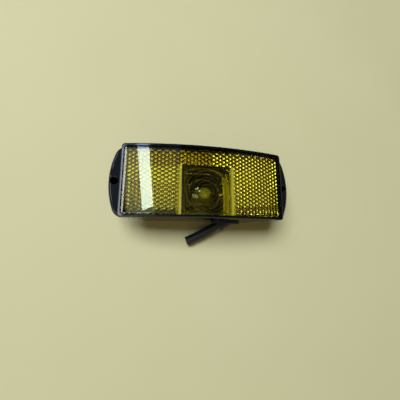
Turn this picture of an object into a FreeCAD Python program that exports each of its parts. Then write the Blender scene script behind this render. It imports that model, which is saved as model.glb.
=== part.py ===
"""Side marker lamp: black housing with screw ears, arched amber lens, wedge-base bulb and cable stub.

Millimetres. The origin is the centre of the back face, X runs along the lamp, Y across it, Z out of the lens.
"""

import FreeCAD, Part
import math
import os

from FreeCAD import Vector

# Lens
lens_length = 104.0
lens_width = 42.6
lens_corner = 1.8
lens_rise = 5.6
lens_wall = 2.6
lens_edge_round = 0.7
skirt_wall = 0.9
skirt_depth = 5.6
snap_length = 8.0
snap_height = 1.2
snap_proud = 0.5
snap_lift = 1.2
snap_spacing = 60.0

# Window and its rings
window_width = 28.8
window_height = 30.1
window_wall = 1.6
window_corner = 1.0
window_wall_depth = 7.5
ring_pitch = 1.13
ring_focus = 32.0
ring_depth = 1.0
ring_cover = 0.1

# Reflex plates
reflex_cell = 2.65
reflex_depth_share = 0.94
reflex_base = 0.8
reflex_inner_end = 18.9
reflex_gap = 0.1
reflex_side_gap = 0.15
reflex_step_least = 0.001

# Housing
rim_wall = 1.75
rim_end_wall = 1.45
rim_corner = 2.2
rim_proud = 0.3
rim_edge_round = 0.7
lens_clearance = 0.15
ledge_width = 1.95
ledge_thickness = 2.0
tray_floor = 1.8
ear_thickness = 3.5
ear_length = 7.4
ear_end_radius = 55.0
ear_corner = 7.5
ear_edge_round = 1.6
ear_hole = 4.5
ear_hole_spacing = 115.0
ear_countersink = 5.2
ear_post = 6.8
post_web = 2.0
body_length = 87.0
body_step = 0.2
body_draft = 0.3
body_corner = 4.0
body_wall = 2.4
floor_wall = 2.0
back_recess = 0.8
back_border = 3.5
back_rib = 2.4
back_rib_spacing = 27.0
seal_thickness = 0.8
seal_width = 1.0

# Bulb
bulb_diameter = 10.0
bulb_length = 26.0
bulb_neck = 5.6
bulb_shoulder = 3.2
glass_wall = 0.7
pinch_width = 9.4
pinch_thickness = 2.1
pinch_height = 8.5
pinch_show = 1.0
lead_wire = 0.5
lead_spacing = 5.2
lead_fold_height = 5.0
filament_height = 19.0
filament_diameter = 0.7
bulb_head_room = 3.8

# Socket, contacts and terminals
socket_plate_length = 30.0
socket_plate_width = 15.0
socket_plate = 2.0
socket_length = 15.0
socket_width = 10.0
socket_corner = 1.5
socket_floor = 1.2
socket_clearance = 0.15
stake_spacing = 23.6
stake_diameter = 3.0
stake_head = 5.0
stake_head_height = 1.2
contact_thickness = 0.5
contact_width = 3.6
contact_height = 4.6
contact_lift = 2.0
tab_height = 2.8
tab_reach = 8.0
terminal_length = 7.0
terminal_wall = 0.6
terminal_barrel = 4.0
terminal_grip = 0.5

# Cable
cable_diameter = 7.0
core_diameter = 1.8
core_spacing = 2.0
grommet_length = 19.0
grommet_height = 8.6
grommet_lip = 1.1
grommet_clearance = 0.1
grommet_lip_thickness = 1.5
grommet_spout = 6.5
grommet_spout_wall = 1.4
grommet_mouth_wall = 0.9
tie_width = 3.6
tie_wall = 1.2
tie_head = 5.0
tie_head_height = 3.0
tie_setback = 1.0
cable_end_room = 6.7
bend_share = 0.45

# Loops of the cores: room left to the cavity's end and distance from the bulb's line, then the straight leads
supply_loop = [(2.5, 3.65), (6.6, 8.65), (12.6, 7.85)]
supply_leads = (4.4, 7.0)
earth_loop = [(5.0, 3.05), (8.1, 6.05), (12.1, 4.75)]
earth_leads = (3.6, 8.5)

# Worked out from the sizes above
floor_top = back_recess + floor_wall
bulb_foot = floor_top + socket_floor + lead_wire
lens_crown = bulb_foot + bulb_length + bulb_head_room + ring_depth + lens_wall
lens_end_height = lens_crown - lens_rise
arch_radius = (lens_length ** 2 / 4 + lens_rise ** 2) / (2 * lens_rise)
skirt_foot = lens_end_height - skirt_depth
ledge_top = skirt_foot - seal_thickness
ear_bottom = ledge_top - tray_floor
ear_top = ear_bottom + ear_thickness
pocket_length = lens_length + 2 * lens_clearance
pocket_width = lens_width + 2 * lens_clearance
rim_length = pocket_length + 2 * rim_end_wall
rim_width = pocket_width + 2 * rim_wall
overall_length = rim_length + 2 * ear_length
body_width = rim_width - 2 * body_step
cavity_length = body_length - 2 * body_wall
cavity_width = body_width - 2 * body_wall
mouth_width = pocket_width - 2 * ledge_width
inner_length = lens_length - 2 * skirt_wall
inner_width = lens_width - 2 * skirt_wall
window_foot = -lens_width / 2
bulb_y = window_foot + window_height / 2
reflex_half_width = inner_width / 2 - reflex_side_gap
reflex_outer_end = inner_length / 2 - reflex_side_gap
reflex_edge = reflex_cell / math.sqrt(3)
reflex_step = reflex_depth_share * reflex_cell / math.sqrt(6)
above_all = lens_crown + lens_rise + lens_wall
cable_lift = floor_top + grommet_clearance + grommet_lip + grommet_height / 2
socket_top = bulb_foot + pinch_height - pinch_show

# Cable route from its end inside the housing, through the long wall, to the cut end on the table
cable_route = [
    Vector(cavity_length / 2 - cable_end_room, -10.3, cable_lift),
    Vector(25.2, -18.0, cable_lift),
    Vector(14.3, -25.8, 7.8),
    Vector(2.8, -32.4, 5.7),
    Vector(-8.5, -37.7, 3.6),
]


def unit(vector):
    """Copy of a vector with length 1."""
    return Vector(vector).normalize()


def joined(arcs):
    """Closed wire of arcs, each given by three points, with straight lines where they don't meet."""
    edges = []
    for arc, following in zip(arcs, arcs[1:] + arcs[:1]):
        edges.append(Part.Arc(*arc).toShape())
        if arc[2].distanceToPoint(following[0]) > 1e-6:
            edges.append(Part.LineSegment(arc[2], following[0]).toShape())
    return Part.Wire(edges)


def rounded_rectangle(length, width, corner, z):
    """Closed wire of a level rectangle with round corners, centred on the Z axis."""
    x, y = length / 2, width / 2
    slant = corner * (1 - math.sqrt(0.5))
    arcs = []
    for sx, sy in ((1, 1), (-1, 1), (-1, -1), (1, -1)):
        on_end = Vector(sx * x, sy * (y - corner), z)
        on_side = Vector(sx * (x - corner), sy * y, z)
        middle = Vector(sx * (x - slant), sy * (y - slant), z)
        first, last = (on_end, on_side) if sx == sy else (on_side, on_end)
        arcs.append([first, middle, last])
    return joined(arcs)


def rounded_block(length, width, corner, low, high):
    """Upright block with round vertical edges, centred on the Z axis."""
    outline = rounded_rectangle(length, width, corner, low)
    return Part.Face(outline).extrude(Vector(0, 0, high - low))


def polygon(points):
    """Flat face through points."""
    return Part.Face(Part.makePolygon(points + points[:1]))


def block(x, y, z):
    """Box between two X, two Y and two Z values, each given as a pair."""
    size = (x[1] - x[0], y[1] - y[0], z[1] - z[0])
    return Part.makeBox(*size, Vector(x[0], y[0], z[0]))


def arch_height(x, offset):
    """Height at x of the lens arch, moved outwards by an offset."""
    return lens_crown - arch_radius + math.sqrt((arch_radius + offset) ** 2 - x ** 2)


def under_arch(length, width, low, offset):
    """Block from a level foot up to the lens arch moved by an offset."""
    x, y = length / 2, width / 2
    left_foot, right_foot = Vector(-x, -y, low), Vector(x, -y, low)
    left_top = Vector(-x, -y, arch_height(x, offset))
    right_top = Vector(x, -y, arch_height(x, offset))
    crown = Vector(0, -y, arch_height(0, offset))
    outline = Part.Wire([
        Part.LineSegment(left_foot, right_foot).toShape(),
        Part.LineSegment(right_foot, right_top).toShape(),
        Part.Arc(right_top, crown, left_top).toShape(),
        Part.LineSegment(left_top, left_foot).toShape(),
    ])
    return Part.Face(outline).extrude(Vector(0, width, 0))


def arched_block(length, width, corner, low, offset):
    """Block with round vertical edges whose top is the lens arch moved by an offset."""
    sides = rounded_block(length, width, corner, low, above_all)
    return sides.common(under_arch(length, width, low, offset))


def upper_edges(shape, low, outer_length, outer_width):
    """Edges above a height that lie on the outer faces of a block."""
    chosen = []
    for edge in shape.Edges:
        box = edge.BoundBox
        level_ends = box.ZMin > low
        on_end = max(abs(box.XMin), abs(box.XMax)) > outer_length / 2 - rim_corner
        on_side = min(abs(box.YMin), abs(box.YMax)) > outer_width / 2 - rim_corner
        if level_ends and (on_end or on_side):
            chosen.append(edge)
    return chosen


def lens_shell():
    """Arched cover with its skirt, hollow from below, and round outer edges."""
    shell = arched_block(lens_length, lens_width, lens_corner, skirt_foot, 0)
    edges = upper_edges(shell, skirt_foot + lens_edge_round, lens_length, lens_width)
    shell = shell.makeFillet(lens_edge_round, edges)
    corner = max(lens_corner - skirt_wall, lens_edge_round)
    hollow = arched_block(inner_length, inner_width, corner, skirt_foot, -lens_wall)
    return shell.cut(hollow)


def window_block(margin, low):
    """Round-cornered block over the window, larger all round by a margin, up into the lens."""
    width, height = window_width + 2 * margin, window_height + 2 * margin
    shape = rounded_block(width, height, window_corner + margin, low, lens_crown)
    shape.translate(Vector(0, bulb_y, 0))
    return shape


def window_walls():
    """Walls that stand round the window on the inside of the lens."""
    low = lens_crown - lens_wall - window_wall_depth
    walls = window_block(window_wall, low).cut(window_block(0, low))
    return walls.common(arched_block(inner_length, inner_width, lens_corner, low, -lens_wall / 2))


def window_rings():
    """Rings of a stepped lens round the bulb's axis, moulded on the inside of the window."""
    base = arch_height(window_width / 2 + window_wall, -lens_wall) - ring_cover
    count = math.ceil(math.hypot(window_width, window_height) / 2 / ring_pitch)
    reach = count * ring_pitch
    corners = [Vector(0, 0, lens_crown - lens_wall / 2), Vector(0, 0, base)]
    for ring in range(count):
        outer = (ring + 1) * ring_pitch
        step = min(ring_pitch * (outer / ring_focus), ring_depth)
        corners.append(Vector(outer, 0, base - step))
        if ring < count - 1:
            corners.append(Vector(outer, 0, base))
    corners.append(Vector(reach, 0, lens_crown - lens_wall / 2))
    profile = Part.Face(Part.makePolygon(corners + corners[:1]))
    rings = profile.revolve(Vector(0, 0, 0), Vector(0, 0, 1), 360)
    rings.translate(Vector(0, bulb_y, 0))
    inside = block((-lens_length, lens_length), (-inner_width / 2, lens_width), (0, above_all))
    return rings.common(window_block(window_wall / 2, 0)).common(inside)


def snap_places():
    """Centre and side of each snap lug along the two long sides."""
    return [(x, side) for x in (-snap_spacing / 2, snap_spacing / 2) for side in (-1, 1)]


def snap_block(x, side, length, inner, outer, low, high):
    """Box across one long side from an inner to an outer distance."""
    across = sorted((side * inner, side * outer))
    return block((x - length / 2, x + length / 2), across, (low, high))


def make_lens():
    """Lens with skirt, window walls, rings and snap lugs, moulded as one."""
    lens = lens_shell().multiFuse([window_walls(), window_rings()])
    low = skirt_foot + snap_lift
    outer = lens_width / 2
    lugs = [
        snap_block(x, side, snap_length, outer - skirt_wall / 2, outer + snap_proud, low, low + snap_height)
        for x, side in snap_places()
    ]
    return lens.multiFuse(lugs).removeSplitter()


def column_height(x):
    """Height under the lens arch at which the column of prisms at x starts."""
    return arch_height(abs(x) + reflex_edge, -lens_wall) - reflex_gap


def cell_facets(centre, lowest):
    """Three facets of one cube corner, a little flatter than a true one so that it spreads the light."""
    apex = Vector(centre.x, centre.y, lowest)
    corners = []
    for turn in range(6):
        angle = math.radians(60 * turn)
        level = (1 + turn % 2) * reflex_step
        corners.append(apex + Vector(reflex_edge * math.cos(angle), reflex_edge * math.sin(angle), level))
    return [[apex, corners[turn], corners[turn + 1], corners[(turn + 2) % 6]] for turn in (0, 2, 4)]


def cube_corners(x, y, top_height):
    """Tall block over an X and a Y range, its foot an array of upright cube corners, column by column."""
    pitch = 1.5 * reflex_edge
    depth = reflex_base + 2 * reflex_step
    columns = range(math.floor(x[0] / pitch) - 1, math.ceil(x[1] / pitch) + 2)
    rows = range(math.floor(y[0] / reflex_cell) - 1, math.ceil(y[1] / reflex_cell) + 2)
    faces = []
    sides = {}
    for column in columns:
        for row in rows:
            centre = Vector(pitch * column, reflex_cell * (row + 0.5 * (column % 2)), 0)
            for facet in cell_facets(centre, top_height(centre.x) - depth):
                lid = [Vector(point.x, point.y, above_all) for point in facet]
                faces += [polygon(facet), polygon(lid)]
                for start, end in zip(facet, facet[1:] + facet[:1]):
                    key = (round(start.x + end.x, 3), round(start.y + end.y, 3))
                    sides.setdefault(key, []).append((start, end))
    for shared in sides.values():
        start, end = shared[0]
        if len(shared) == 1:
            lifted = [Vector(point.x, point.y, above_all) for point in (end, start)]
            faces.append(polygon([start, end] + lifted))
        elif start.distanceToPoint(shared[1][1]) > reflex_step_least:
            faces.append(polygon([start, end, shared[1][0], shared[1][1]]))
    return Part.Solid(Part.Shell(faces))


def make_side_reflex(side):
    """Prism plate behind one wing of the lens: its top follows the arch, its prisms stay upright."""
    x = sorted((side * reflex_inner_end, side * reflex_outer_end))
    y = (-reflex_half_width, reflex_half_width)
    low = skirt_foot - lens_wall
    length, width = 2 * reflex_outer_end, 2 * reflex_half_width
    plate = arched_block(length, width, lens_corner, low, -lens_wall - reflex_gap)
    return plate.common(block(x, y, (low, above_all))).common(cube_corners(x, y, column_height))


def make_top_reflex():
    """Level prism plate round three sides of the window."""
    end = reflex_inner_end - reflex_side_gap
    top = arch_height(end, -lens_wall) - reflex_gap
    x, y = (-end, end), (-reflex_half_width, reflex_half_width)
    plate = block(x, y, (skirt_foot, top)).cut(window_block(window_wall + reflex_side_gap, skirt_foot))
    return plate.common(cube_corners(x, y, lambda _: top))


def make_lens_seal():
    """Flat ring between the foot of the lens skirt and the housing ledge."""
    outer = rounded_block(lens_length, lens_width, lens_corner, ledge_top, skirt_foot)
    length, width = lens_length - 2 * seal_width, lens_width - 2 * seal_width
    return outer.cut(rounded_block(length, width, lens_corner - seal_width, ledge_top, skirt_foot))


def ear_outline(z):
    """Outline of the flange: long straight sides and bowed ends with round corners."""
    tip, y = overall_length / 2, rim_width / 2
    bow = tip - ear_end_radius
    reach = ear_end_radius - ear_corner
    corner_y = y - ear_corner
    corner_x = bow + math.sqrt(reach ** 2 - corner_y ** 2)
    to_corner = unit(Vector(corner_x - bow, corner_y, 0))
    arcs = []
    for side in (1, -1):
        on_bow = Vector(bow, 0, 0) + to_corner * ear_end_radius
        halfway = unit(to_corner + Vector(0, 1, 0)) * ear_corner
        places = [
            Vector(corner_x, -y, 0),
            Vector(corner_x + halfway.x, -corner_y - halfway.y, 0),
            Vector(on_bow.x, -on_bow.y, 0),
            Vector(tip, 0, 0),
            on_bow,
            Vector(corner_x + halfway.x, corner_y + halfway.y, 0),
            Vector(corner_x, y, 0),
        ]
        points = [Vector(side * place.x, side * place.y, z) for place in places]
        arcs += [points[start:start + 3] for start in (0, 2, 4)]
    return joined(arcs)


def flange():
    """Ear plate with its round upper edge."""
    plate = Part.Face(ear_outline(ear_bottom)).extrude(Vector(0, 0, ear_thickness))
    top = [edge for edge in plate.Edges if edge.BoundBox.ZMin > ear_top - ear_edge_round]
    return plate.makeFillet(ear_edge_round, top)


def rim():
    """Frame block that follows the arch a little above the lens, with a round outer edge."""
    frame = arched_block(rim_length, rim_width, rim_corner, ear_bottom, rim_proud)
    return frame.makeFillet(rim_edge_round, upper_edges(frame, ear_top, rim_length, rim_width))


def body():
    """Tapered body between the back face and the flange."""
    foot = rounded_rectangle(body_length - 2 * body_draft, body_width - 2 * body_draft, body_corner, 0)
    head = rounded_rectangle(body_length, body_width, body_corner, ear_bottom)
    return Part.makeLoft([foot, head], True, True)


def back_pockets():
    """Shallow pockets of the back face, with ribs left between them."""
    length = body_length - 2 * (body_draft + back_border)
    width = body_width - 2 * (body_draft + back_border)
    pockets = rounded_block(length, width, body_corner / 2, 0, back_recess)
    ribs = [block((-length, length), (-back_rib / 2, back_rib / 2), (0, back_recess))]
    count = int(length / 2 / back_rib_spacing)
    for place in range(-count, count + 1):
        x = place * back_rib_spacing
        ribs.append(block((x - back_rib / 2, x + back_rib / 2), (-width, width), (0, back_recess)))
    return pockets.cut(Part.makeCompound(ribs))


def ear_posts():
    """Posts under the ears, down to the level of the back face, each with a web to the body's end."""
    posts = []
    for side in (-1, 1):
        x = side * ear_hole_spacing / 2
        posts.append(Part.makeCylinder(ear_post / 2, ear_bottom, Vector(x, 0, 0)))
        along = sorted((side * cavity_length / 2, x))
        posts.append(block(along, (-post_web / 2, post_web / 2), (back_recess, ear_bottom)))
    return posts


def ear_holes():
    """Countersunk screw holes through the two ears and their posts."""
    sink = (ear_countersink - ear_hole) / 2
    holes = []
    for side in (-1, 1):
        foot = Vector(side * ear_hole_spacing / 2, 0, 0)
        hole = Part.makeCylinder(ear_hole / 2, ear_top, foot)
        cone = Part.makeCone(ear_hole / 2, ear_countersink / 2, sink, foot + Vector(0, 0, ear_top - sink))
        holes.append(hole.fuse(cone))
    return holes


def stakes():
    """Posts on the floor that pass through the socket's plate and are staked over it."""
    posts = []
    plate_top = floor_top + socket_plate
    for side in (-1, 1):
        x = side * stake_spacing / 2
        post = Part.makeCylinder(stake_diameter / 2, socket_plate, Vector(x, bulb_y, floor_top))
        head = Part.makeCylinder(stake_head / 2, stake_head_height, Vector(x, bulb_y, plate_top))
        rims = [edge for edge in head.Edges if edge.BoundBox.ZMin > plate_top]
        posts.append(post.fuse(head.makeFillet(stake_head_height / 2, rims)))
    return posts


def stadium(length, height, near, far):
    """Upright plate with half-round ends, lying across the lower long wall at the cable."""
    radius = height / 2
    x = length / 2 - radius
    outline = Part.Wire([
        Part.LineSegment(Vector(-x, 0, -radius), Vector(x, 0, -radius)).toShape(),
        Part.Arc(Vector(x, 0, -radius), Vector(x + radius, 0, 0), Vector(x, 0, radius)).toShape(),
        Part.LineSegment(Vector(x, 0, radius), Vector(-x, 0, radius)).toShape(),
        Part.Arc(Vector(-x, 0, radius), Vector(-x - radius, 0, 0), Vector(-x, 0, -radius)).toShape(),
    ])
    plate = Part.Face(outline).extrude(Vector(0, far - near, 0))
    plate.translate(Vector(wall_crossing().x, near, cable_lift))
    return plate


def wall_crossing():
    """Point where the cable route crosses the middle of the lower long wall."""
    inside, outside = cable_route[1], cable_route[2]
    wall_middle = (body_wall - body_width) / 2
    share = (wall_middle - inside.y) / (outside.y - inside.y)
    return inside + (outside - inside) * share


def make_housing():
    """Housing with ears, posts, rim, body, floor, lens pocket, screw holes and cable hole."""
    solid = body().multiFuse([flange(), rim()] + ear_posts())
    pocket = rounded_block(pocket_length, pocket_width, lens_corner + lens_clearance, ledge_top, above_all)
    mouth_x, mouth_y = (-cavity_length / 2, cavity_length / 2), (-mouth_width / 2, mouth_width / 2)
    mouth = block(mouth_x, mouth_y, (floor_top, above_all))
    ledge_bottom = ledge_top - ledge_thickness
    cavity = rounded_block(cavity_length, cavity_width, body_corner / 2, floor_top, ledge_bottom)
    low = skirt_foot + snap_lift - lens_clearance
    high = low + snap_height + 2 * lens_clearance
    wall = pocket_width / 2
    recesses = [
        snap_block(x, side, snap_length + 2 * lens_clearance, 0, wall + snap_proud, low, high)
        for x, side in snap_places()
    ]
    cable_hole = stadium(grommet_length, grommet_height, -body_width, -mouth_width / 2)
    cuts = [pocket, mouth, cavity, back_pockets(), cable_hole] + recesses + ear_holes()
    return solid.cut(cuts).multiFuse(stakes()).removeSplitter()


def bulb_profile(inset, low):
    """Half outline of the bulb's round envelope, drawn in by an inset."""
    radius = bulb_diameter / 2 - inset
    neck = bulb_neck / 2 - inset
    shoulder = pinch_height + bulb_shoulder
    dome = bulb_length - bulb_diameter / 2
    bow = radius * math.sqrt(0.5)
    foot = Vector(0, 0, low)
    top = Vector(0, 0, dome + radius)
    return Part.Wire([
        Part.makePolygon([foot, Vector(neck, 0, low), Vector(radius, 0, shoulder), Vector(radius, 0, dome)]),
        Part.Arc(Vector(radius, 0, dome), Vector(bow, 0, dome + bow), top).toShape(),
        Part.LineSegment(top, foot).toShape(),
    ])


def envelope(inset, low):
    """Round body of the bulb, drawn in by an inset."""
    return Part.Face(bulb_profile(inset, low)).revolve(Vector(0, 0, 0), Vector(0, 0, 1), 360)


def at_bulb(shape):
    """Moves a shape drawn round the Z axis to the bulb's place in its socket."""
    shape.translate(Vector(0, bulb_y, bulb_foot))
    return shape


def lead_route(side):
    """Route of one lead wire: down through the pinch, under it and up its face."""
    x, out = side * lead_spacing / 2, side * (pinch_thickness + lead_wire) / 2
    under = -lead_wire / 2
    return [
        Vector(x, 0, filament_height + filament_diameter / 2),
        Vector(x, 0, under),
        Vector(x, out, under),
        Vector(x, out, lead_fold_height),
    ]


def leads():
    """The two lead wires of the bulb."""
    return [tube(lead_route(side), lead_wire) for side in (1, -1)]


def make_bulb_glass():
    """Hollow glass envelope with a flat wedge pinch, bored for the lead wires."""
    pinch = rounded_block(pinch_width, pinch_thickness, pinch_thickness / 3, 0, pinch_height)
    glass = envelope(0, pinch_height - pinch_show / 2).fuse(pinch)
    glass = glass.cut(envelope(glass_wall, pinch_height + glass_wall))
    return at_bulb(glass.cut(leads()).removeSplitter())


def make_bulb_leads():
    """Both lead wires as one group."""
    return at_bulb(Part.makeCompound(leads()))


def make_bulb_filament():
    """Coiled filament between the lead wires, as a plain rod of the coil's diameter."""
    x = lead_spacing / 2
    rod = Part.makeCylinder(filament_diameter / 2, 2 * x, Vector(-x, 0, filament_height), Vector(1, 0, 0))
    return at_bulb(rod.cut(leads()))


def contact_blade(side):
    """Flat contact with its leaf beside the pinch and its tab out of the socket's end."""
    near = side * (pinch_thickness / 2 + lead_wire)
    far = near + side * contact_thickness
    y = sorted((bulb_y + near, bulb_y + far))
    low = floor_top + socket_plate + contact_lift
    first = side * lead_spacing / 2 - contact_width / 2
    leaf = block((first, first + contact_width), y, (low, low + contact_height))
    tab = block((first, socket_length / 2 + tab_reach), y, (low, low + tab_height))
    return leaf.fuse(tab).removeSplitter()


def make_bulb_socket():
    """Wedge socket: plate, upright block, slot for the pinch and pockets for the contacts."""
    plate_top = floor_top + socket_plate
    plate = rounded_block(socket_plate_length, socket_plate_width, socket_corner, floor_top, plate_top)
    upright = rounded_block(socket_length, socket_width, socket_corner, floor_top, socket_top)
    slot_width = pinch_thickness + 2 * socket_clearance
    slot_length = pinch_width + 2 * socket_clearance
    slot_floor = floor_top + socket_floor
    slot = rounded_block(slot_length, slot_width, slot_width / 3, slot_floor, socket_top)
    socket = plate.fuse(upright).cut(slot)
    holes = [
        Part.makeCylinder(stake_diameter / 2, socket_plate, Vector(side * stake_spacing / 2, 0, floor_top))
        for side in (-1, 1)
    ]
    socket = socket.cut(holes)
    socket.translate(Vector(0, bulb_y, 0))
    grooves = []
    for side in (-1, 1):
        x = side * lead_spacing / 2
        reach = pinch_thickness / 2 + lead_wire
        y = sorted((bulb_y, bulb_y + side * (reach + contact_thickness)))
        grooves.append(block((x - lead_wire, x + lead_wire), y, (slot_floor, socket_top)))
        grooves.append(contact_blade(side))
    return socket.cut(grooves).removeSplitter()


def tab_centre(side):
    """Middle of the end of one contact's tab."""
    y = bulb_y + side * (pinch_thickness / 2 + lead_wire + contact_thickness / 2)
    z = floor_top + socket_plate + contact_lift + tab_height / 2
    return Vector(socket_length / 2 + tab_reach, y, z)


def make_terminal(side):
    """Push-on terminal: a box over the tab and a crimped barrel for the core."""
    end = tab_centre(side)
    half_y = contact_thickness / 2 + terminal_wall
    half_z = tab_height / 2 + terminal_wall
    back = end.x + terminal_wall
    across, height = (end.y - half_y, end.y + half_y), (end.z - half_z, end.z + half_z)
    shell = block((back - terminal_length, back), across, height)
    radius = core_diameter / 2
    barrel_foot = Vector(back - terminal_wall, end.y, end.z)
    barrel = Part.makeCylinder(radius + terminal_grip, terminal_barrel, barrel_foot, Vector(1, 0, 0))
    bore = Part.makeCylinder(radius, terminal_barrel, Vector(back, end.y, end.z), Vector(1, 0, 0))
    return shell.fuse(barrel).cut([bore, contact_blade(side)]).removeSplitter()


def core_start(side):
    """Where one core leaves the sheath's inner end, beside the middle."""
    inward = unit(cable_route[0] - cable_route[1])
    across = Vector(-inward.y, inward.x, 0)
    return cable_route[0] - across * (side * core_spacing / 2)


def core_route(side):
    """Loop of one core from the sheath to its terminal's barrel."""
    start = core_start(side)
    inward = unit(cable_route[0] - cable_route[1])
    end = tab_centre(side) + Vector(terminal_wall, 0, 0)
    places = supply_loop if side > 0 else earth_loop
    lead_out, lead_in = supply_leads if side > 0 else earth_leads
    loop = [Vector(cavity_length / 2 - room, bulb_y + away, cable_lift) for room, away in places]
    return [start, start + inward * lead_out] + loop + [end + Vector(lead_in, 0, 0), end]


def rounded_path(points):
    """Wire of straight runs joined by tangent arcs as large as the runs allow, and its radii."""
    edges = []
    radii = []
    start = points[0]
    for before, corner, after in zip(points, points[1:], points[2:]):
        run_in, run_out = corner - before, after - corner
        way_in, way_out = unit(run_in), unit(run_out)
        half_turn = way_in.getAngle(way_out) / 2
        cut = bend_share * min(run_in.Length, run_out.Length)
        radius = cut / math.tan(half_turn)
        inwards = unit(way_out - way_in)
        arc_start, arc_end = corner - way_in * cut, corner + way_out * cut
        arc_middle = corner + inwards * (radius / math.cos(half_turn) - radius)
        edges.append(Part.LineSegment(start, arc_start).toShape())
        edges.append(Part.Arc(arc_start, arc_middle, arc_end).toShape())
        radii.append(radius)
        start = arc_end
    edges.append(Part.LineSegment(start, points[-1]).toShape())
    return Part.Wire(edges), radii


def tube(points, diameter):
    """Round solid along a rounded path."""
    path = rounded_path(points)[0]
    ring = Part.makeCircle(diameter / 2, points[0], points[1] - points[0])
    return path.makePipeShell([Part.Wire([ring])], True, True)


def make_grommet():
    """Rubber grommet: plug in the wall, a lip each side and a slanted spout round the cable."""
    outer, inner = -body_width / 2, body_wall - body_width / 2
    lip_length, lip_height = grommet_length + 2 * grommet_lip, grommet_height + 2 * grommet_lip
    plug = stadium(grommet_length, grommet_height, outer, inner)
    lips = [
        stadium(lip_length, lip_height, outer - grommet_lip_thickness, outer),
        stadium(lip_length, lip_height, inner, inner + grommet_lip_thickness),
    ]
    way_out = unit(cable_route[2] - cable_route[1])
    root, mouth = cable_diameter / 2 + grommet_spout_wall, cable_diameter / 2 + grommet_mouth_wall
    spout = Part.makeCone(root, mouth, grommet_spout, wall_crossing(), way_out)
    outside = block((-overall_length, overall_length), (-overall_length, outer), (0, above_all))
    return plug.multiFuse(lips + [spout.common(outside)]).cut(make_cable()).removeSplitter()


def make_cable():
    """Cable sheath along the whole route."""
    return tube(cable_route, cable_diameter)


def make_cable_tie():
    """Band and head of the tie that stops the cable behind the grommet."""
    outward = unit(cable_route[1] - cable_route[0])
    start = cable_route[0] + outward * tie_setback
    radius = cable_diameter / 2 + tie_wall
    band = Part.makeCylinder(radius, tie_width, start, outward)
    across = Vector(-outward.y, outward.x, 0)
    corner = start - across * (tie_head / 2) + Vector(0, 0, cable_diameter / 2)
    head_face = Part.makePolygon([
        corner,
        corner + across * tie_head,
        corner + across * tie_head + Vector(0, 0, tie_head_height),
        corner + Vector(0, 0, tie_head_height),
        corner,
    ])
    head = Part.Face(head_face).extrude(outward * tie_width)
    return band.fuse(head).cut(make_cable()).removeSplitter()


def export(name, shape):
    """Writes one piece as a STEP file."""
    shape.exportStep("parts/" + name + ".step")


def main():
    """Builds every piece and prints the bends of the cable and the cores."""
    os.makedirs("parts", exist_ok=True)
    export("housing", make_housing())
    export("lens", make_lens())
    export("reflex_left", make_side_reflex(-1))
    export("reflex_right", make_side_reflex(1))
    export("reflex_top", make_top_reflex())
    export("lens_seal", make_lens_seal())
    export("bulb_glass", make_bulb_glass())
    export("bulb_leads", make_bulb_leads())
    export("bulb_filament", make_bulb_filament())
    export("bulb_socket", make_bulb_socket())
    for name, side in (("supply", 1), ("earth", -1)):
        export("contact_" + name, contact_blade(side))
        export("terminal_" + name, make_terminal(side))
        export("core_" + name, tube(core_route(side), core_diameter))
        print("core", name, "bend radii", [round(radius, 1) for radius in rounded_path(core_route(side))[1]])
    export("cable_sheath", make_cable())
    export("cable_grommet", make_grommet())
    export("cable_tie", make_cable_tie())
    path, radii = rounded_path(cable_route)
    print("cable bend radii", [round(radius, 1) for radius in radii], "length", round(path.Length, 1))


main()
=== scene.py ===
"""Looks of the side marker lamp: finishes, cable stub, filament coil, studio lights and camera."""

import logging
import math
from dataclasses import dataclass, field
from enum import Enum

import bmesh
import bpy
from mathutils import Matrix, Vector


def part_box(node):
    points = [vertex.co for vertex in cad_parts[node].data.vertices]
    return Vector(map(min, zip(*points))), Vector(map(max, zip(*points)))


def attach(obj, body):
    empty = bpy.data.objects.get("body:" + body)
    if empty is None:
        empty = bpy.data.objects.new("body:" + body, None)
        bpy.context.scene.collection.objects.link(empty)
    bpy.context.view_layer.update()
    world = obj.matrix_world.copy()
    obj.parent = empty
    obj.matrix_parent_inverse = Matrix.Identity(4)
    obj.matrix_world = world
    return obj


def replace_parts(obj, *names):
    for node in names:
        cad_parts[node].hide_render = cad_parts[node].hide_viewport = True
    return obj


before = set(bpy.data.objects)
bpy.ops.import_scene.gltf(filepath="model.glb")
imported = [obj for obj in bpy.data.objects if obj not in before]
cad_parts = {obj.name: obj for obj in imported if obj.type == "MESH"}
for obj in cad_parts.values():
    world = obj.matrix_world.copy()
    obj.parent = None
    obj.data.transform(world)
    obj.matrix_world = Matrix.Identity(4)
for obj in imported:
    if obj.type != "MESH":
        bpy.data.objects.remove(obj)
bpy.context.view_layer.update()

LOG = logging.getLogger("side_marker_lamp")
MM = 0.001
BODY = "root"

Colour = tuple[float, float, float, float]
Point = tuple[float, float, float]

# Places of a Mix node's colour sockets, because their names aren't unique
FIRST_COLOUR = 6
SECOND_COLOUR = 7
MIXED_COLOUR = 2

# Order of the curves that cords follow, each piece of which bends one way
LINE_ORDER = 3

UPWARD = Vector((0.0, 0.0, 1.0))


class CordEnd(Enum):
    """What is on the far end of a cord."""

    BARE = "bare"


class CordLay(Enum):
    """How a cord lies."""

    LOOSE = "loose"


class CordStiffness(Enum):
    """How much a cord resists bending."""

    STIFF = "stiff"


class Reach(Enum):
    """Where a light shows: on what it lights, in what mirrors it, or in both."""

    ALL = "on surfaces and in mirrors"
    SURFACES = "on surfaces only"
    MIRRORS = "in mirrors only"


def linear(code: str) -> Colour:
    """Turn an sRGB hex colour into linear light.

    Args:
        code: Six hex digits after a hash sign.

    Returns:
        Linear red, green and blue, with an alpha of 1.
    """
    values = [int(code[place:place + 2], 16) / 255 for place in (1, 3, 5)]
    light = [v / 12.92 if v <= 0.04045 else ((v + 0.055) / 1.055) ** 2.4 for v in values]
    return (light[0], light[1], light[2], 1.0)


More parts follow.
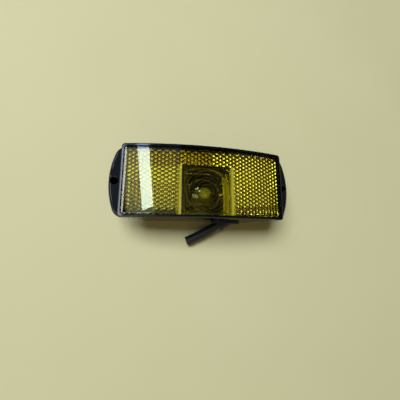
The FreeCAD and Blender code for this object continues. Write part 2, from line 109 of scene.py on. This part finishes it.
def per_metre(size_mm: float) -> float:
    """Texture scale at which a pattern's features have the given size in millimetres."""
    return 1.0 / (size_mm * MM)


def add_node(
    tree: bpy.types.NodeTree,
    kind: str,
    inputs: dict[str | int, object] | None = None,
    **settings: object,
) -> bpy.types.Node:
    """Add a node, set it up and link it.

    Args:
        tree: Node tree that gets the node.
        kind: Blender's name of the node type.
        inputs: Value or output socket for each input, by name or place.
        settings: Attributes of the node itself.

    Returns:
        The new node.
    """
    node = tree.nodes.new(kind)
    for name, value in settings.items():
        setattr(node, name, value)
    for key, value in (inputs or {}).items():
        if isinstance(value, bpy.types.NodeSocket):
            tree.links.new(value, node.inputs[key])
        else:
            node.inputs[key].default_value = value
    return node


@dataclass(frozen=True)
class Finish:
    """A surface finish that paints one material."""

    name: str

    def material(self) -> bpy.types.Material:
        """Make the material on first use.

        Returns:
            The finish's material.
        """
        found = bpy.data.materials.get(self.name)
        if found is not None:
            return found
        material = bpy.data.materials.new(self.name)
        material.use_nodes = True
        tree = material.node_tree
        tree.nodes.clear()
        shader = add_node(tree, "ShaderNodeBsdfPrincipled")
        output = add_node(tree, "ShaderNodeOutputMaterial", {"Surface": shader.outputs["BSDF"]})
        place = add_node(tree, "ShaderNodeTexCoord").outputs["Object"]
        self.paint(tree, shader, output, place)
        return material

    def paint(
        self,
        tree: bpy.types.NodeTree,
        shader: bpy.types.Node,
        output: bpy.types.Node,
        place: bpy.types.NodeSocket,
    ) -> None:
        """Add the finish's own nodes, which each kind of finish does in its own way."""
        raise NotImplementedError


@dataclass(frozen=True)
class SolidFinish(Finish):
    """An opaque surface with two tones, a grain and uneven gloss."""

    colour: str
    shade: str
    blotch_mm: float
    grain_mm: float
    grain_depth_mm: float
    matt: float
    gloss: float
    ior: float = 1.5
    metallic: float = 0.0
    stretch: Point = (1.0, 1.0, 1.0)
    blotch_detail: float = 4.0
    blotch_break: float = 0.6
    grain_detail: float = 3.0
    grain_break: float = 0.55
    grain_strength: float = 0.6
    gloss_below: float = 0.3
    matt_above: float = 0.7

    def paint(
        self,
        tree: bpy.types.NodeTree,
        shader: bpy.types.Node,
        output: bpy.types.Node,
        place: bpy.types.NodeSocket,
    ) -> None:
        """Mix the two tones, press the grain into the surface and vary its roughness.

        Args:
            tree: Node tree of the material.
            shader: Its surface shader.
            output: Its output node; not used.
            place: Socket with the place on the surface, in metres.
        """
        drawn = add_node(tree, "ShaderNodeMapping", {"Vector": place, "Scale": self.stretch})
        along = drawn.outputs["Vector"]
        blotch = add_node(
            tree, "ShaderNodeTexNoise",
            {"Vector": along, "Scale": per_metre(self.blotch_mm),
             "Detail": self.blotch_detail, "Roughness": self.blotch_break},
        )
        tone = add_node(
            tree, "ShaderNodeMix",
            {"Factor": blotch.outputs["Fac"],
             FIRST_COLOUR: linear(self.shade), SECOND_COLOUR: linear(self.colour)},
            data_type="RGBA",
        )
        grain = add_node(
            tree, "ShaderNodeTexNoise",
            {"Vector": along, "Scale": per_metre(self.grain_mm),
             "Detail": self.grain_detail, "Roughness": self.grain_break},
        )
        relief = add_node(
            tree, "ShaderNodeBump",
            {"Strength": self.grain_strength, "Distance": self.grain_depth_mm * MM,
             "Height": grain.outputs["Fac"]},
        )
        rough = add_node(
            tree, "ShaderNodeMapRange",
            {"Value": blotch.outputs["Fac"], "From Min": self.gloss_below, "From Max": self.matt_above,
             "To Min": self.gloss, "To Max": self.matt},
        )
        tree.links.new(tone.outputs[MIXED_COLOUR], shader.inputs["Base Color"])
        tree.links.new(relief.outputs["Normal"], shader.inputs["Normal"])
        tree.links.new(rough.outputs["Result"], shader.inputs["Roughness"])
        shader.inputs["Metallic"].default_value = self.metallic
        if self.metallic == 0.0:
            shader.inputs["IOR"].default_value = self.ior


@dataclass(frozen=True)
class ClearFinish(Finish):
    """A see-through body with a tint, slight flow waves and, if asked, a share that scatters light."""

    colour: str
    shade: str
    flow_mm: float
    flow_depth_mm: float
    ior: float
    matt: float = 0.0
    lets_lamps_through: bool = False
    flow_detail: float = 1.0
    wave_strength: float = 0.3

    def paint(
        self,
        tree: bpy.types.NodeTree,
        shader: bpy.types.Node,
        output: bpy.types.Node,
        place: bpy.types.NodeSocket,
    ) -> None:
        """Tint the body along its flow lines and give the surface its slight waves.

        Args:
            tree: Node tree of the material.
            shader: Its surface shader.
            output: Its output node.
            place: Socket with the place on the surface, in metres.
        """
        flow = add_node(
            tree, "ShaderNodeTexNoise",
            {"Vector": place, "Scale": per_metre(self.flow_mm), "Detail": self.flow_detail},
        )
        tint = add_node(
            tree, "ShaderNodeMix",
            {"Factor": flow.outputs["Fac"],
             FIRST_COLOUR: linear(self.shade), SECOND_COLOUR: linear(self.colour)},
            data_type="RGBA",
        )
        waves = add_node(
            tree, "ShaderNodeBump",
            {"Strength": self.wave_strength, "Distance": self.flow_depth_mm * MM,
             "Height": flow.outputs["Fac"]},
        )
        tree.links.new(tint.outputs[MIXED_COLOUR], shader.inputs["Base Color"])
        tree.links.new(waves.outputs["Normal"], shader.inputs["Normal"])
        shader.inputs["Roughness"].default_value = 0.0
        shader.inputs["IOR"].default_value = self.ior
        shader.inputs["Transmission Weight"].default_value = 1.0 - self.matt
        self.mark(tree, shader, place)
        if self.lets_lamps_through:
            self.open_to_lamps(tree, shader, output, tint.outputs[MIXED_COLOUR])

    def mark(
        self,
        tree: bpy.types.NodeTree,
        shader: bpy.types.Node,
        place: bpy.types.NodeSocket,
    ) -> None:
        """Add the matt marks of a finish that has them. A plain one has none."""

    def open_to_lamps(
        self,
        tree: bpy.types.NodeTree,
        shader: bpy.types.Node,
        output: bpy.types.Node,
        tint: bpy.types.NodeSocket,
    ) -> None:
        """Let the lamps' light straight through, so that what is behind is lit without noise.

        Args:
            tree: Node tree of the material.
            shader: Its surface shader.
            output: Its output node.
            tint: Socket with the body's colour.
        """
        clear = add_node(tree, "ShaderNodeBsdfTransparent", {"Color": tint})
        ray = add_node(tree, "ShaderNodeLightPath")
        both = add_node(
            tree, "ShaderNodeMixShader",
            {0: ray.outputs["Is Shadow Ray"], 1: shader.outputs["BSDF"], 2: clear.outputs["BSDF"]},
        )
        tree.links.new(both.outputs["Shader"], output.inputs["Surface"])


@dataclass(frozen=True)
class LensFinish(ClearFinish):
    """The lens's clear body with matt marks: window walls, ring edges and strips beside the window."""

    window_half_mm: float = 16.3
    wall_top_mm: float = 33.9
    wall_foot_mm: float = 30.9
    wall_matt: float = 0.06
    ring_centre_mm: float = -6.25
    # Every second ring, which is coarser than the rings themselves, so that they show
    ring_pitch_mm: float = 2.26
    ring_edge: float = 0.8
    ring_top_mm: float = 34.8
    ring_matt: float = 0.03
    # The strip on each side of the window, and the fainter edge outside it
    frame_mm: float = 16.7
    frame_half_mm: float = 0.7
    frame_end_mm: float = 10.4
    frame_matt: float = 0.4
    edge_mm: float = 18.1
    edge_half_mm: float = 0.9
    edge_matt: float = 0.13
    underside_mm: float = 36.0
    matt_roughness: float = 0.6

    def mark(
        self,
        tree: bpy.types.NodeTree,
        shader: bpy.types.Node,
        place: bpy.types.NodeSocket,
    ) -> None:
        """Make the walls, the ring edges and the strips beside the window matt.

        Args:
            tree: Node tree of the material.
            shader: Its surface shader.
            place: Socket with the place on the surface, in metres.
        """
        axes = add_node(tree, "ShaderNodeSeparateXYZ", {"Vector": place}).outputs
        found: dict[str | float, object] = {"x": axes["X"], "y": axes["Y"], "z": axes["Z"]}
        steps = (
            ("out", "ABSOLUTE", "x", 0.0, 0.0),
            ("window", "LESS_THAN", "out", self.window_half_mm * MM, 0.0),
            ("below wall top", "LESS_THAN", "z", self.wall_top_mm * MM, 0.0),
            ("above wall foot", "GREATER_THAN", "z", self.wall_foot_mm * MM, 0.0),
            ("wall heights", "MULTIPLY", "below wall top", "above wall foot", 0.0),
            ("walls", "MULTIPLY", "window", "wall heights", 0.0),
            ("up", "SUBTRACT", "y", self.ring_centre_mm * MM, 0.0),
            ("up squared", "MULTIPLY", "up", "up", 0.0),
            ("radius squared", "MULTIPLY_ADD", "out", "out", "up squared"),
            ("radius", "SQRT", "radius squared", 0.0, 0.0),
            ("turns", "MULTIPLY", "radius", per_metre(self.ring_pitch_mm), 0.0),
            ("phase", "FRACT", "turns", 0.0, 0.0),
            ("edges", "GREATER_THAN", "phase", self.ring_edge, 0.0),
            ("below ring top", "LESS_THAN", "z", self.ring_top_mm * MM, 0.0),
            ("window underside", "MULTIPLY", "window", "below ring top", 0.0),
            ("rings", "MULTIPLY", "edges", "window underside", 0.0),
            ("at frame", "COMPARE", "out", self.frame_mm * MM, self.frame_half_mm * MM),
            ("at edge", "COMPARE", "out", self.edge_mm * MM, self.edge_half_mm * MM),
            ("edge matt", "MULTIPLY", "at edge", self.edge_matt, 0.0),
            ("beside matt", "MULTIPLY_ADD", "at frame", self.frame_matt, "edge matt"),
            ("underside", "LESS_THAN", "z", self.underside_mm * MM, 0.0),
            ("below frame end", "LESS_THAN", "y", self.frame_end_mm * MM, 0.0),
            ("beside window", "MULTIPLY", "underside", "below frame end", 0.0),
            ("ring matt", "MULTIPLY", "rings", self.ring_matt, 0.0),
            ("frame matt", "MULTIPLY_ADD", "beside matt", "beside window", "ring matt"),
            ("matt", "MULTIPLY_ADD", "walls", self.wall_matt, "frame matt"),
            ("clear", "SUBTRACT", 1.0, "matt", 0.0),
            ("roughness", "MULTIPLY", "matt", self.matt_roughness, 0.0),
        )
        for name, operation, *values in steps:
            sources = {socket: found.get(value, value) for socket, value in enumerate(values)}
            found[name] = add_node(tree, "ShaderNodeMath", sources, operation=operation).outputs["Value"]
        tree.links.new(found["clear"], shader.inputs["Transmission Weight"])
        tree.links.new(found["roughness"], shader.inputs["Roughness"])


@dataclass(frozen=True)
class CutCoreFinish(Finish):
    """The cut end of a core: insulation round a bundle of copper strands."""

    insulation: str
    copper: str
    # Dark copper for the gaps between the strands: painted shade
    shade: str
    bundle_mm: float = 1.1
    strand_mm: float = 0.25
    matt: float = 0.45
    # Keeps a place's distances across the core and drops the one along it
    across: Point = (1.0, 1.0, 0.0)

    def paint(
        self,
        tree: bpy.types.NodeTree,
        shader: bpy.types.Node,
        output: bpy.types.Node,
        place: bpy.types.NodeSocket,
    ) -> None:
        """Colour the middle as strands, with painted shade in the gaps between them, and the rest as
        insulation.

        Args:
            tree: Node tree of the material.
            shader: Its surface shader.
            output: Its output node; not used.
            place: Socket with the place on the surface, in metres from the core's axis.
        """
        flat = add_node(tree, "ShaderNodeVectorMath", {0: place, 1: self.across}, operation="MULTIPLY")
        radius = add_node(tree, "ShaderNodeVectorMath", {0: flat.outputs["Vector"]}, operation="LENGTH")
        bundle = add_node(
            tree, "ShaderNodeMath",
            {0: radius.outputs["Value"], 1: self.bundle_mm / 2 * MM},
            operation="LESS_THAN",
        )
        strands = add_node(
            tree, "ShaderNodeTexVoronoi",
            {"Vector": place, "Scale": per_metre(self.strand_mm)},
        )
        # Painted shade: the copper darkens from each strand's middle into the gaps between the strands
        copper = add_node(
            tree, "ShaderNodeMix",
            {"Factor": strands.outputs["Distance"],
             FIRST_COLOUR: linear(self.copper), SECOND_COLOUR: linear(self.shade)},
            data_type="RGBA",
        )
        face = add_node(
            tree, "ShaderNodeMix",
            {"Factor": bundle.outputs["Value"],
             FIRST_COLOUR: linear(self.insulation), SECOND_COLOUR: copper.outputs[MIXED_COLOUR]},
            data_type="RGBA",
        )
        tree.links.new(face.outputs[MIXED_COLOUR], shader.inputs["Base Color"])
        tree.links.new(bundle.outputs["Value"], shader.inputs["Metallic"])
        shader.inputs["Roughness"].default_value = self.matt


# ABS moulded in a smooth tool: black, with a dark and slightly broken mirror shine. The grain is drawn
# coarser than it is, to show.
BLACK_ABS = SolidFinish(
    "moulded_black_abs", "#080a0e", "#050608",
    blotch_mm=14.0, grain_mm=0.7, grain_depth_mm=0.004, matt=0.11, gloss=0.07,
)

# Polycarbonate moulded in a polished tool: clear amber with a hard shine.
AMBER_LENS = LensFinish(
    "moulded_amber_polycarbonate", "#f7f28b", "#f3ed80",
    flow_mm=22.0, flow_depth_mm=0.01, ior=1.585, lets_lamps_through=True,
)

# The same polycarbonate in cube corners that throw light back. Light crosses it more than once, so its
# tint is paler than the lens's.
AMBER_PRISMS = ClearFinish(
    "moulded_amber_prisms", "#f7f0c4", "#f3ebba",
    flow_mm=22.0, flow_depth_mm=0.004, ior=1.585,
)

# Rubber cured in a mould: matt black with a dry bloom.
BLACK_RUBBER = SolidFinish(
    "cured_black_rubber", "#121212", "#0b0b0b",
    blotch_mm=6.0, grain_mm=0.5, grain_depth_mm=0.03, matt=0.75, gloss=0.6, ior=1.52,
)

# Soda glass blown thin, with a faint haze: a pale dome with slight waves.
BLOWN_GLASS = ClearFinish(
    "blown_soda_glass", "#fbfdfb", "#f6faf7",
    flow_mm=7.0, flow_depth_mm=0.02, ior=1.52, matt=0.045, lets_lamps_through=True,
)

# Nickel-plated wire drawn through a die: bright and slightly uneven.
DRAWN_WIRE = SolidFinish(
    "drawn_nickel_wire", "#b9b7b0", "#8f8d87",
    blotch_mm=2.0, grain_mm=0.2, grain_depth_mm=0.01, matt=0.35, gloss=0.22, metallic=1.0,
)

# Tungsten wound into a coil: dull grey metal.
WOUND_TUNGSTEN = SolidFinish(
    "wound_tungsten", "#77777a", "#515155",
    blotch_mm=1.0, grain_mm=0.1, grain_depth_mm=0.004, matt=0.5, gloss=0.4, metallic=1.0,
)

# Glass-filled polyester moulded with carbon black: dark grey, faintly mottled.
DARK_POLYESTER = SolidFinish(
    "moulded_dark_polyester", "#2b2a28", "#1f1e1d",
    blotch_mm=5.0, grain_mm=0.4, grain_depth_mm=0.015, matt=0.55, gloss=0.4, ior=1.57,
)

# Brass stamped from rolled strip: dark, tarnished metal with lines along the strip.
STAMPED_BRASS = SolidFinish(
    "stamped_brass", "#6b5a38", "#463820",
    blotch_mm=3.0, grain_mm=0.3, grain_depth_mm=0.008, matt=0.55, gloss=0.4, metallic=1.0,
    stretch=(0.2, 1.0, 1.0),
)

# PVC extruded on the cores: smooth, with a soft shine.
WHITE_PVC = SolidFinish(
    "extruded_white_pvc", "#dcd8cc", "#c8c3b6",
    blotch_mm=6.0, grain_mm=0.6, grain_depth_mm=0.01, matt=0.5, gloss=0.38, ior=1.53,
)
BROWN_PVC = SolidFinish(
    "extruded_brown_pvc", "#5b3418", "#452610",
    blotch_mm=6.0, grain_mm=0.6, grain_depth_mm=0.01, matt=0.5, gloss=0.38, ior=1.53,
)

# PVC extruded as the cable's sheath: black and satin, slightly uneven. The waves are drawn coarser than
# they are, to show.
BLACK_PVC = SolidFinish(
    "extruded_black_pvc", "#131311", "#0b0b0a",
    blotch_mm=9.0, grain_mm=0.9, grain_depth_mm=0.03, matt=0.55, gloss=0.42, ior=1.53,
)

# Nylon moulded in its natural colour: milky white.
NATURAL_NYLON = SolidFinish(
    "moulded_natural_nylon", "#e6e4da", "#d6d3c6",
    blotch_mm=4.0, grain_mm=0.4, grain_depth_mm=0.01, matt=0.5, gloss=0.36, ior=1.53,
)

# Cores cut with pliers: PVC round a bundle of drawn copper strands, which shows as a bright warm spot.
# The darker copper tone in these cut ends is painted shade in the gaps between the strands
CUT_WHITE_CORE = CutCoreFinish("cut_white_core", "#dcd8cc", "#d08a63", "#6b3d24")
CUT_BROWN_CORE = CutCoreFinish("cut_brown_core", "#5b3418", "#d08a63", "#6b3d24")

# Board painted with a roller: pale, matt, faintly uneven.
PAINTED_BOARD = SolidFinish(
    "painted_pale_board", "#d2d0a4", "#c9c798",
    blotch_mm=160.0, grain_mm=2.5, grain_depth_mm=0.02, matt=0.7, gloss=0.55, ior=1.45,
)


def dress(node: str, finish: Finish) -> bpy.types.Object:
    """Give a CAD node its finish.

    Args:
        node: Name of the node.
        finish: Finish that it gets.

    Returns:
        The node's object.
    """
    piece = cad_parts[node]
    piece.data.materials.clear()
    piece.data.materials.append(finish.material())
    LOG.info("%s: %s", node, finish.name)
    return piece


def settle(piece: bpy.types.Object, finish: Finish) -> bpy.types.Object:
    """Finish a new piece and let it ride on the lamp.

    Args:
        piece: The new piece, in place.
        finish: Finish that it gets.

    Returns:
        The piece.
    """
    piece.data.materials.append(finish.material())
    bpy.context.scene.collection.objects.link(piece)
    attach(piece, BODY)
    LOG.info("%s: %s", piece.name, finish.name)
    return piece


def round_line(
    name: str,
    points: list[Vector],
    diameter: float,
    steps: int,
    roundness: int,
) -> bpy.types.Object:
    """Make a round cord along a smooth line.

    Args:
        name: Name of the piece.
        points: Control points of its line.
        diameter: Its diameter in metres.
        steps: Steps of the line from one point to the next.
        roundness: Bevel resolution of the round section.

    Returns:
        A curve object that isn't in the scene yet.
    """
    curve = bpy.data.curves.new(name, "CURVE")
    curve.dimensions = "3D"
    curve.bevel_depth = diameter / 2
    curve.bevel_resolution = roundness
    curve.use_fill_caps = True
    spline = curve.splines.new("NURBS")
    spline.points.add(len(points) - 1)
    for target, point in zip(spline.points, points):
        target.co = (*point, 1.0)
    spline.order_u = LINE_ORDER
    spline.use_endpoint_u = True
    spline.resolution_u = steps
    return bpy.data.objects.new(name, curve)


@dataclass
class Housing:
    """Black moulding with rim, ears, body and floor."""

    node: str = "housing"

    def build(self) -> None:
        """Dress the moulding."""
        dress(self.node, BLACK_ABS)


@dataclass
class Lens:
    """Amber lens with its three prism plates and its seal."""

    cover: str = "lens"
    plates: tuple[str, ...] = ("reflex_left", "reflex_right", "reflex_top")
    seal: str = "lens_seal"

    def build(self) -> None:
        """Dress the cover, the plates and the seal."""
        dress(self.cover, AMBER_LENS)
        for plate in self.plates:
            dress(plate, AMBER_PRISMS)
        dress(self.seal, BLACK_RUBBER)


@dataclass
class Bulb:
    """Wedge-base bulb with a wound filament."""

    turns: int = 15
    points_per_turn: int = 8
    wire_mm: float = 0.09
    coil_steps: int = 2
    coil_roundness: int = 2

    def build(self) -> None:
        """Dress the glass and the leads and wind the filament."""
        dress("bulb_glass", BLOWN_GLASS)
        dress("bulb_leads", DRAWN_WIRE)
        self.wind_filament()

    def wind_filament(self) -> bpy.types.Object:
        """Wind the filament between the leads, in the place of its plain rod.

        Returns:
            The coil.
        """
        low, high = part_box("bulb_filament")
        centre = (low + high) / 2
        radius = (high.z - low.z) / 2 - self.wire_mm * MM / 2
        count = self.turns * self.points_per_turn
        points = []
        for place in range(count + 1):
            angle = 2 * math.pi * place / self.points_per_turn
            x = low.x + (high.x - low.x) * place / count
            y = centre.y + radius * math.cos(angle)
            z = centre.z + radius * math.sin(angle)
            points.append(Vector((x, y, z)))
        coil = round_line(
            "filament_coil", points, self.wire_mm * MM, self.coil_steps, self.coil_roundness,
        )
        settle(coil, WOUND_TUNGSTEN)
        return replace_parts(coil, "bulb_filament")


@dataclass
class Socket:
    """Socket with its contacts, terminals and cores."""

    poles: tuple[str, ...] = ("supply", "earth")

    def build(self) -> None:
        """Dress the moulding, the metal and the wires."""
        dress("bulb_socket", DARK_POLYESTER)
        for pole in self.poles:
            dress("contact_" + pole, STAMPED_BRASS)
            dress("terminal_" + pole, STAMPED_BRASS)
        dress("core_supply", WHITE_PVC)
        dress("core_earth", BROWN_PVC)


@dataclass
class CableStub:
    """Two-core cable that leaves the lower long side and is cut off."""

    route: list[Point] = field(default_factory=lambda: [
        (0.0344, -0.0103, 0.0083),
        (0.0252, -0.0180, 0.0083),
        (0.0143, -0.0258, 0.0078),
        (0.0028, -0.0324, 0.0057),
        (-0.0085, -0.0377, 0.0036),
    ])
    diameter: float = 0.007
    length: float = 0.0515
    line_steps: int = 16
    line_roundness: int = 7
    core_diameter: float = 0.0018
    core_spacing: float = 0.0022
    core_show: float = 0.0004
    core_segments: int = 28

    def build(self) -> None:
        """Lay the sheath, show its cut cores and dress the grommet and the tie."""
        grommet = dress("cable_grommet", BLACK_RUBBER)
        tie = dress("cable_tie", NATURAL_NYLON)
        self.cut_core("cut_core_supply", 1.0, CUT_WHITE_CORE)
        self.cut_core("cut_core_earth", -1.0, CUT_BROWN_CORE)
        points = [Vector(point) for point in self.route]
        sheath = round_line("cable_line", points, self.diameter, self.line_steps, self.line_roundness)
        settle(sheath, BLACK_PVC)
        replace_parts(sheath, "cable_sheath")

    def cut_core(self, name: str, side: float, finish: Finish) -> bpy.types.Object:
        """Show the end of one core in the cut face of the sheath.

        Args:
            name: Name of the piece.
            side: Side of the sheath's middle that it is on, 1 or -1.
            finish: Finish that it gets.

        Returns:
            The core's end.
        """
        end, before = (Vector(self.route[place]) for place in (-1, -2))
        outward = (end - before).normalized()
        across = outward.cross(UPWARD).normalized()
        middle = end + across * (side * self.core_spacing / 2) + outward * (self.core_show / 2)
        mesh = bpy.data.meshes.new(name)
        shape = bmesh.new()
        bmesh.ops.create_cone(
            shape,
            cap_ends=True,
            segments=self.core_segments,
            radius1=self.core_diameter / 2,
            radius2=self.core_diameter / 2,
            depth=self.core_show,
        )
        shape.to_mesh(mesh)
        shape.free()
        core = bpy.data.objects.new(name, mesh)
        core.matrix_world = facing(middle, -outward, across)
        return settle(core, finish)


def facing(place: Vector, aim: Vector, up: Vector) -> Matrix:
    """Place of something that looks along its own -Z.

    Args:
        place: Where it stands.
        aim: Direction that it looks in.
        up: Direction that its own Y turns to, as far as the aim allows.

    Returns:
        Its matrix.
    """
    back = -aim.normalized()
    right = up.cross(back).normalized()
    axes = Matrix((right, back.cross(right), back)).transposed()
    return Matrix.Translation(place) @ axes.to_4x4()


@dataclass(frozen=True)
class SoftBox:
    """A soft light that hangs over the lamp and faces it."""

    name: str
    place: Point
    size: tuple[float, float]
    power: float
    colour: str
    up: Point = (0.0, 1.0, 0.0)
    reach: Reach = Reach.MIRRORS

    def hang(self) -> None:
        """Hang the light."""
        light = bpy.data.lights.new(self.name, "AREA")
        light.shape = "RECTANGLE"
        light.size, light.size_y = self.size
        light.energy = self.power
        light.color = linear(self.colour)[:3]
        holder = bpy.data.objects.new(self.name, light)
        place = Vector(self.place)
        holder.matrix_world = facing(place, -place, Vector(self.up))
        holder.visible_diffuse = self.reach is not Reach.MIRRORS
        holder.visible_glossy = self.reach is not Reach.SURFACES
        holder.visible_transmission = self.reach is not Reach.SURFACES
        bpy.context.scene.collection.objects.link(holder)


# Direction that the lights of the lens's bright band lean along
BAND_LEAN: Point = (-0.25, 1.0, 0.0)


@dataclass
class Studio:
    """Pale floor, soft light and the camera."""

    floor_size: float = 4.0
    softboxes: tuple[SoftBox, ...] = (
        # The bright band in the lens, and the soft halos beside it
        SoftBox("strip_softbox", (-0.4435, 0.334, 1.0), (0.12, 0.43), 1.45, "#bcd0ff", BAND_LEAN),
        SoftBox("near_halo", (-0.51, 0.30, 1.0), (0.30, 0.52), 0.24, "#d8ecff", BAND_LEAN),
        SoftBox("wide_halo", (-0.3475, 0.30, 1.0), (0.625, 0.52), 0.23, "#d8ecff", BAND_LEAN),
        SoftBox("right_halo", (0.765, 0.28, 1.0), (0.54, 0.50), 0.12, "#fce4c0"),
        # The light line on the left lip of the rim
        SoftBox("lip_softbox", (-1.04, 0.42, 1.45), (0.10, 0.62), 1.6, "#e8f0ff"),
        # The light on all surfaces and the soft shadow
        SoftBox("key_softbox", (-0.58, 0.52, 1.53), (1.2, 0.7), 35.3, "#f1f4ff", reach=Reach.SURFACES),
        # The flashes in the prism fields and the window
        SoftBox("left_fill", (0.06, -0.15, 1.2), (0.36, 0.20), 0.36, "#d4e8ff"),
        SoftBox("middle_fill", (-0.30, -0.15, 1.2), (0.36, 0.20), 0.20, "#d4e8ff"),
        SoftBox("right_fill", (-0.88, -0.22, 1.2), (0.60, 0.36), 2.8, "#d4e8ff"),
        # The warm light that reaches into the shadow
        SoftBox("ceiling", (-0.3, -0.85, 1.3), (2.4, 1.7), 4.3, "#f4d478", reach=Reach.ALL),
    )
    sky_colour: str = "#f4f0e0"
    sky_strength: float = 0.03
    backdrop_colour: str = "#e2e0cc"
    backdrop_top: float = 0.3
    backdrop_end: float = 0.45
    camera_place: Point = (-0.02826, -0.03587, 0.16473)
    camera_aim: Point = (0.17839455, 0.17881029, -0.96757546)
    camera_up: Point = (-0.0363935, 0.98387554, 0.17511261)
    focal_mm: float = 19.35
    sensor_mm: float = 36.0
    clip_start: float = 0.005

    def build(self) -> None:
        """Lay the floor, set the lights and place the camera."""
        self.lay_floor()
        for softbox in self.softboxes:
            softbox.hang()
        self.fill_sky()
        self.place_camera()

    def lay_floor(self) -> None:
        """Lay a pale floor under the lamp."""
        mesh = bpy.data.meshes.new("floor")
        shape = bmesh.new()
        bmesh.ops.create_grid(shape, x_segments=1, y_segments=1, size=self.floor_size / 2)
        shape.to_mesh(mesh)
        shape.free()
        floor = bpy.data.objects.new("floor", mesh)
        mesh.materials.append(PAINTED_BOARD.material())
        bpy.context.scene.collection.objects.link(floor)

    def fill_sky(self) -> None:
        """Dim the room above, and show the camera and the mirrors a pale backdrop round the lamp."""
        world = bpy.data.worlds.new("studio")
        bpy.context.scene.world = world
        world.use_nodes = True
        tree = world.node_tree
        tree.nodes.clear()
        ray = add_node(tree, "ShaderNodeLightPath").outputs
        direction = add_node(tree, "ShaderNodeTexCoord").outputs["Generated"]
        height = add_node(tree, "ShaderNodeSeparateXYZ", {"Vector": direction}).outputs["Z"]
        low = add_node(
            tree, "ShaderNodeMapRange",
            {"Value": height, "From Min": self.backdrop_top, "From Max": self.backdrop_end,
             "To Min": 1.0, "To Max": 0.0},
        ).outputs["Result"]
        mirrored = add_node(
            tree, "ShaderNodeMath",
            {0: ray["Is Glossy Ray"], 1: ray["Is Transmission Ray"]},
            operation="MAXIMUM",
        ).outputs["Value"]
        shown = add_node(
            tree, "ShaderNodeMath",
            {0: mirrored, 1: low, 2: ray["Is Camera Ray"]},
            operation="MULTIPLY_ADD", use_clamp=True,
        ).outputs["Value"]
        sky = add_node(
            tree, "ShaderNodeBackground",
            {"Color": linear(self.sky_colour), "Strength": self.sky_strength},
        ).outputs["Background"]
        backdrop = add_node(
            tree, "ShaderNodeBackground",
            {"Color": linear(self.backdrop_colour)},
        ).outputs["Background"]
        both = add_node(tree, "ShaderNodeMixShader", {0: shown, 1: sky, 2: backdrop}).outputs["Shader"]
        add_node(tree, "ShaderNodeOutputWorld", {"Surface": both})

    def place_camera(self) -> None:
        """Place the camera where the photograph was taken from."""
        data = bpy.data.cameras.new("camera")
        data.lens = self.focal_mm
        data.sensor_width = self.sensor_mm
        data.clip_start = self.clip_start
        camera = bpy.data.objects.new("camera", data)
        camera.matrix_world = facing(
            Vector(self.camera_place), Vector(self.camera_aim), Vector(self.camera_up),
        )
        bpy.context.scene.collection.objects.link(camera)
        bpy.context.scene.camera = camera


def main() -> None:
    """Build the lamp's looks, piece by piece, and the studio round it."""
    logging.basicConfig(level=logging.INFO, format="%(name)s %(message)s")
    bpy.context.scene.view_settings.view_transform = "Standard"
    for assembly in (Studio(), CableStub(), Housing(), Lens(), Bulb(), Socket()):
        assembly.build()


if __name__ == "__main__":
    main()
